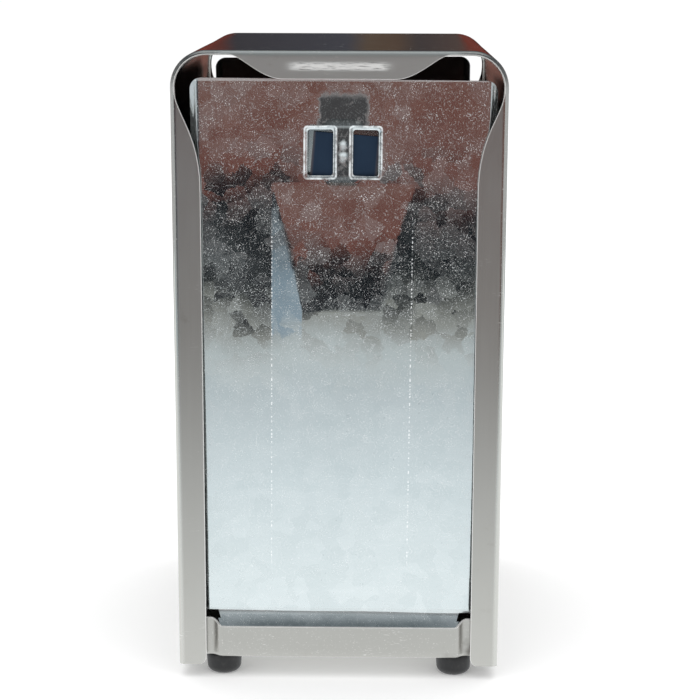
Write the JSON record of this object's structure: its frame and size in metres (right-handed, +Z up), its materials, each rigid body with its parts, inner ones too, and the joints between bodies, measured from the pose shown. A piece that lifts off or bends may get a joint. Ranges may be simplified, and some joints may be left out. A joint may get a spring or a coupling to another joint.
{
  "type": "napkin dispenser",
  "caption": "Free-standing two-sided table napkin dispenser: folded stainless shell on a shallow pan, with sprung galvanised follower plates behind its open faces.",
  "frame": {"origin": "on the surface that the feet stand on, below the middle of the dispenser", "axes": "+Z up; the front open face looks along -Y and the rear one along +Y; +X to the right seen from the front"},
  "size_m": [0.1016, 0.127, 0.1985],
  "materials": {
    "brushed_stainless": "brushed along the folds, polished on top",
    "galvanised_sheet": "spangled hot-dip zinc",
    "spring_steel": "blued and lightly oiled",
    "rivet_steel": "zinc plated",
    "foot_rubber": "matte moulded"
  },
  "bodies": {
    "housing": {"shell": "brushed_stainless", "base_pan": "brushed_stainless", "spring_anchor": "galvanised_sheet", "front_leaf_spring": "spring_steel", "rear_leaf_spring": "spring_steel", "anchor_rivet_left": "rivet_steel", "anchor_rivet_right": "rivet_steel", "floor_rivet_left": "rivet_steel", "floor_rivet_right": "rivet_steel", "foot_front_left": "foot_rubber", "foot_front_right": "foot_rubber", "foot_rear_left": "foot_rubber", "foot_rear_right": "foot_rubber", "foot_washer_front_left": "rivet_steel", "foot_washer_front_right": "rivet_steel", "foot_washer_rear_left": "rivet_steel", "foot_washer_rear_right": "rivet_steel", "foot_rivet_front_left": "rivet_steel", "foot_rivet_front_right": "rivet_steel", "foot_rivet_rear_left": "rivet_steel", "foot_rivet_rear_right": "rivet_steel"},
    "front_follower": {"front_plate": "galvanised_sheet", "front_saddle": "galvanised_sheet"},
    "rear_follower": {"rear_plate": "galvanised_sheet", "rear_saddle": "galvanised_sheet"}
  },
  "joints": [
    {"name": "front_plate_slide", "type": "slide", "parent": "housing", "child": "front_follower", "axis": [0, 1, 0], "range_m": [0, 0.045], "stiffness_N_per_m": 240, "springref_m": -0.018, "deforming": ["front_leaf_spring"]},
    {"name": "rear_plate_slide", "type": "slide", "parent": "housing", "child": "rear_follower", "axis": [0, -1, 0], "range_m": [0, 0.045], "stiffness_N_per_m": 240, "springref_m": -0.018, "deforming": ["rear_leaf_spring"]}
  ]
}
